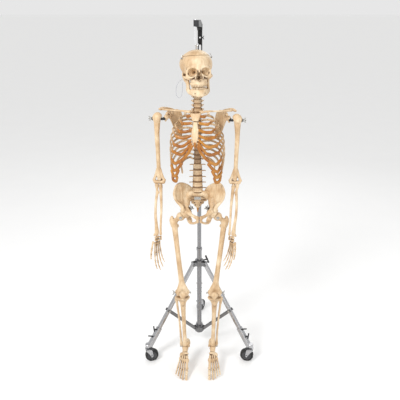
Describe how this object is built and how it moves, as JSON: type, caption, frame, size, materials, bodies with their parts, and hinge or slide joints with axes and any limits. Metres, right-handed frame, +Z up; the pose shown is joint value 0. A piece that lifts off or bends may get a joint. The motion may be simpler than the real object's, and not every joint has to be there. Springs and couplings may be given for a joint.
{
  "type": "human skeleton model",
  "caption": "Life-size jointed teaching skeleton of cast bones, hung by the crown of the skull from a bracket on a folding tripod stand with casters.",
  "frame": {"origin": "on the floor under the middle of the stand's column", "axes": "+Z up along the column, -Y the way the skeleton faces, +X the skeleton's left"},
  "size_m": [0.6236, 0.7391, 1.8543],
  "materials": {
    "steel_tube": "bright zinc-chrome plated tube",
    "cast_dark": "dark grey painted casting",
    "black_steel": "black enamel",
    "steel_rod": "bright plated steel",
    "black_rubber": "matt black tyre",
    "bone": "cast resin, cream with brown staining",
    "cartilage": "cast resin, amber",
    "disc": "tan cushion",
    "nylon": "clear nylon cord"
  },
  "bodies": {
    "column": {"column_outer": "steel_tube", "base_hub": "cast_dark"},
    "collar": {"leg_collar": "cast_dark"},
    "collar_handle": {"collar_handle": "black_steel"},
    "leg_right": {"tripod_leg_right": "steel_tube"},
    "leg_left": {"tripod_leg_left": "steel_tube"},
    "leg_rear": {"tripod_leg_rear": "steel_tube"},
    "brace_right": {"brace_right": "cast_dark"},
    "brace_left": {"brace_left": "cast_dark"},
    "brace_rear": {"brace_rear": "cast_dark"},
    "fork_right": {"caster_fork_right": "steel_rod"},
    "fork_left": {"caster_fork_left": "steel_rod"},
    "fork_rear": {"caster_fork_rear": "steel_rod"},
    "wheel_right": {"caster_wheel_right": "black_rubber"},
    "wheel_left": {"caster_wheel_left": "black_rubber"},
    "wheel_rear": {"caster_wheel_rear": "black_rubber"},
    "mast": {"column_inner": "steel_tube", "hanger_bracket": "black_steel"},
    "trunk": {"hanging_rod": "steel_rod", "skull_eyebolt": "steel_rod", "spinal_rod": "steel_rod", "cervical_vertebrae": "bone", "thoracic_vertebrae": "bone", "lumbar_vertebrae": "bone", "discs": "disc", "sacrum": "bone", "ribs": "bone", "costal_cartilage": "cartilage", "sternum": "bone", "clavicles": "bone", "scapulae": "bone", "hip_bones": "bone"},
    "skull": {"cranium": "bone", "tag_loop": "nylon"},
    "cap": {"skull_cap": "bone"},
    "catch_right": {"cap_catch_right": "steel_rod"},
    "catch_left": {"cap_catch_left": "steel_rod"},
    "jaw": {"mandible": "bone"},
    "bolt_right": {"shoulder_bolt_right": "steel_rod"},
    "bolt_left": {"shoulder_bolt_left": "steel_rod"},
    "upper_arm_right": {"humerus_right": "bone"},
    "upper_arm_left": {"humerus_left": "bone"},
    "forearm_right": {"ulna_right": "bone", "radius_right": "bone"},
    "forearm_left": {"ulna_left": "bone", "radius_left": "bone"},
    "hand_right": {"hand_right": "bone"},
    "hand_left": {"hand_left": "bone"},
    "hip_rod_right": {"hip_rod_right": "steel_rod"},
    "hip_rod_left": {"hip_rod_left": "steel_rod"},
    "thigh_right": {"femur_right": "bone", "patella_right": "bone", "knee_rod_right": "steel_rod"},
    "thigh_left": {"femur_left": "bone", "patella_left": "bone", "knee_rod_left": "steel_rod"},
    "shin_right": {"shin_bones_right": "bone"},
    "shin_left": {"shin_bones_left": "bone"},
    "foot_right": {"foot_right": "bone"},
    "foot_left": {"foot_left": "bone"}
  },
  "joints": [
    {"name": "collar_slide", "type": "slide", "parent": "column", "child": "collar", "axis": [0, 0, 1], "range_m": [0, 0.06]},
    {"name": "collar_handle_turn", "type": "hinge", "parent": "collar", "child": "collar_handle", "pos_m": [0, 0, 0.553], "axis": [0.866, 0.5, 0], "range_deg": [-90, 90]},
    {"name": "leg_fold_right", "type": "hinge", "parent": "collar", "child": "leg_right", "pos_m": [-0.03291, -0.019, 0.545], "axis": [0.5, -0.866, 0], "range_deg": [0, 9.78]},
    {"name": "brace_fold_right", "type": "hinge", "parent": "column", "child": "brace_right", "pos_m": [-0.02598, -0.015, 0.112], "axis": [0.5, -0.866, 0], "range_deg": [-13.25, 0]},
    {"name": "caster_swivel_right", "type": "hinge", "parent": "leg_right", "child": "fork_right", "pos_m": [-0.29272, -0.169, 0.085], "axis": [0, 0, 1], "continuous": true},
    {"name": "wheel_roll_right", "type": "hinge", "parent": "fork_right", "child": "wheel_right", "pos_m": [-0.27315, -0.16484, 0.0375], "axis": [-0.2079, 0.9781, 0], "continuous": true},
    {"name": "leg_fold_left", "type": "hinge", "parent": "collar", "child": "leg_left", "pos_m": [0.03291, -0.019, 0.545], "axis": [0.5, 0.866, 0], "range_deg": [0, 9.78]},
    {"name": "brace_fold_left", "type": "hinge", "parent": "column", "child": "brace_left", "pos_m": [0.02598, -0.015, 0.112], "axis": [0.5, 0.866, 0], "range_deg": [-13.25, 0]},
    {"name": "caster_swivel_left", "type": "hinge", "parent": "leg_left", "child": "fork_left", "pos_m": [0.29272, -0.169, 0.085], "axis": [0, 0, 1], "continuous": true},
    {"name": "wheel_roll_left", "type": "hinge", "parent": "fork_left", "child": "wheel_left", "pos_m": [0.27315, -0.16484, 0.0375], "axis": [-0.2079, -0.9781, 0], "continuous": true},
    {"name": "leg_fold_rear", "type": "hinge", "parent": "collar", "child": "leg_rear", "pos_m": [0, 0.038, 0.545], "axis": [-1, 0, 0], "range_deg": [0, 9.78]},
    {"name": "brace_fold_rear", "type": "hinge", "parent": "column", "child": "brace_rear", "pos_m": [0, 0.03, 0.112], "axis": [-1, 0, 0], "range_deg": [-13.25, 0]},
    {"name": "caster_swivel_rear", "type": "hinge", "parent": "leg_rear", "child": "fork_rear", "pos_m": [0, 0.338, 0.085], "axis": [0, 0, 1], "continuous": true},
    {"name": "wheel_roll_rear", "type": "hinge", "parent": "fork_rear", "child": "wheel_rear", "pos_m": [0.01, 0.35532, 0.0375], "axis": [-0.866, 0.5, 0], "continuous": true},
    {"name": "mast_raise", "type": "slide", "parent": "column", "child": "mast", "axis": [0, 0, 1], "range_m": [0, 0.15]},
    {"name": "hook_turn", "type": "hinge", "parent": "mast", "child": "trunk", "pos_m": [-0.02, -0.157, 1.8], "axis": [0, 0, 1], "range_deg": [-25, 25]},
    {"name": "skull_turn", "type": "hinge", "parent": "trunk", "child": "skull", "pos_m": [-0.008, -0.1495, 1.578], "axis": [-0.0344, -0.0516, 0.9981], "range_deg": [-35, 35]},
    {"name": "jaw_open", "type": "hinge", "parent": "skull", "child": "jaw", "pos_m": [-0.00935, -0.17861, 1.60345], "axis": [0.9897, 0.1391, 0.0349], "range_deg": [0, 9]},
    {"name": "cap_lift", "type": "slide", "parent": "skull", "child": "cap", "axis": [-0.0344, -0.0516, 0.9981], "range_m": [0, 0.006]},
    {"name": "cap_catch_turn_right", "type": "hinge", "parent": "skull", "child": "catch_right", "pos_m": [-0.07852, -0.19253, 1.68645], "axis": [0.9897, 0.1391, 0.0349], "range_deg": [0, 90]},
    {"name": "shoulder_abduct_right", "type": "hinge", "parent": "trunk", "child": "bolt_right", "pos_m": [-0.17862, -0.15369, 1.404], "axis": [-0.0958, -0.9954, 0], "range_deg": [-30, 0]},
    {"name": "shoulder_flex_right", "type": "hinge", "parent": "bolt_right", "child": "upper_arm_right", "pos_m": [-0.20251, -0.15139, 1.404], "axis": [-0.9954, 0.0958, 0], "range_deg": [-20, 110]},
    {"name": "elbow_flex_right", "type": "hinge", "parent": "upper_arm_right", "child": "forearm_right", "pos_m": [-0.2, -0.176, 1.092], "axis": [-0.9954, 0.0958, 0], "range_deg": [-5, 75]},
    {"name": "wrist_flex_right", "type": "hinge", "parent": "forearm_right", "child": "hand_right", "pos_m": [-0.211, -0.226, 0.822], "axis": [-0.6726, -0.7251, 0.148], "range_deg": [-35, 25]},
    {"name": "hip_flex_right", "type": "hinge", "parent": "trunk", "child": "hip_rod_right", "pos_m": [-0.071, -0.19, 0.93], "axis": [-0.7546, 0, -0.6562], "range_deg": [-4, 50]},
    {"name": "hip_abduct_right", "type": "hinge", "parent": "hip_rod_right", "child": "thigh_right", "pos_m": [-0.094, -0.19, 0.91], "axis": [0, -1, 0], "range_deg": [-5, 0]},
    {"name": "knee_flex_right", "type": "hinge", "parent": "thigh_right", "child": "shin_right", "pos_m": [-0.088, -0.26, 0.506], "axis": [1, 0, 0], "range_deg": [-14, 12]},
    {"name": "ankle_flex_right", "type": "hinge", "parent": "shin_right", "child": "foot_right", "pos_m": [-0.079, -0.22, 0.136], "axis": [-1, 0, 0], "range_deg": [-6, 14]},
    {"name": "cap_catch_turn_left", "type": "hinge", "parent": "skull", "child": "catch_left", "pos_m": [0.05508, -0.17375, 1.69117], "axis": [0.9897, 0.1391, 0.0349], "range_deg": [0, 90]},
    {"name": "shoulder_abduct_left", "type": "hinge", "parent": "trunk", "child": "bolt_left", "pos_m": [0.15783, -0.18608, 1.404], "axis": [0.0958, 0.9954, 0], "range_deg": [-30, 0]},
    {"name": "shoulder_flex_left", "type": "hinge", "parent": "bolt_left", "child": "upper_arm_left", "pos_m": [0.18172, -0.18838, 1.404], "axis": [-0.9954, 0.0958, 0], "range_deg": [-20, 110]},
    {"name": "elbow_flex_left", "type": "hinge", "parent": "upper_arm_left", "child": "forearm_left", "pos_m": [0.18, -0.176, 1.089], "axis": [-0.9954, 0.0958, 0], "range_deg": [-5, 75]},
    {"name": "wrist_flex_left", "type": "hinge", "parent": "forearm_left", "child": "hand_left", "pos_m": [0.168, -0.226, 0.819], "axis": [-0.5219, 0.84, -0.1483], "range_deg": [-35, 25]},
    {"name": "hip_flex_left", "type": "hinge", "parent": "trunk", "child": "hip_rod_left", "pos_m": [0.071, -0.19, 0.93], "axis": [-0.7546, 0, 0.6562], "range_deg": [-4, 50]},
    {"name": "hip_abduct_left", "type": "hinge", "parent": "hip_rod_left", "child": "thigh_left", "pos_m": [0.094, -0.19, 0.91], "axis": [0, 1, 0], "range_deg": [-5, 0]},
    {"name": "knee_flex_left", "type": "hinge", "parent": "thigh_left", "child": "shin_left", "pos_m": [0.082, -0.26, 0.504], "axis": [1, 0, 0], "range_deg": [-14, 12]},
    {"name": "ankle_flex_left", "type": "hinge", "parent": "shin_left", "child": "foot_left", "pos_m": [0.075, -0.22, 0.137], "axis": [-1, 0, 0], "range_deg": [-6, 14]}
  ],
  "couplings": [
    {"joint": "leg_fold_right", "follows": "collar_slide", "rad_per_m": 2.83},
    {"joint": "brace_fold_right", "follows": "collar_slide", "rad_per_m": -3.84},
    {"joint": "leg_fold_left", "follows": "collar_slide", "rad_per_m": 2.83},
    {"joint": "brace_fold_left", "follows": "collar_slide", "rad_per_m": -3.84},
    {"joint": "leg_fold_rear", "follows": "collar_slide", "rad_per_m": 2.83},
    {"joint": "brace_fold_rear", "follows": "collar_slide", "rad_per_m": -3.84}
  ]
}
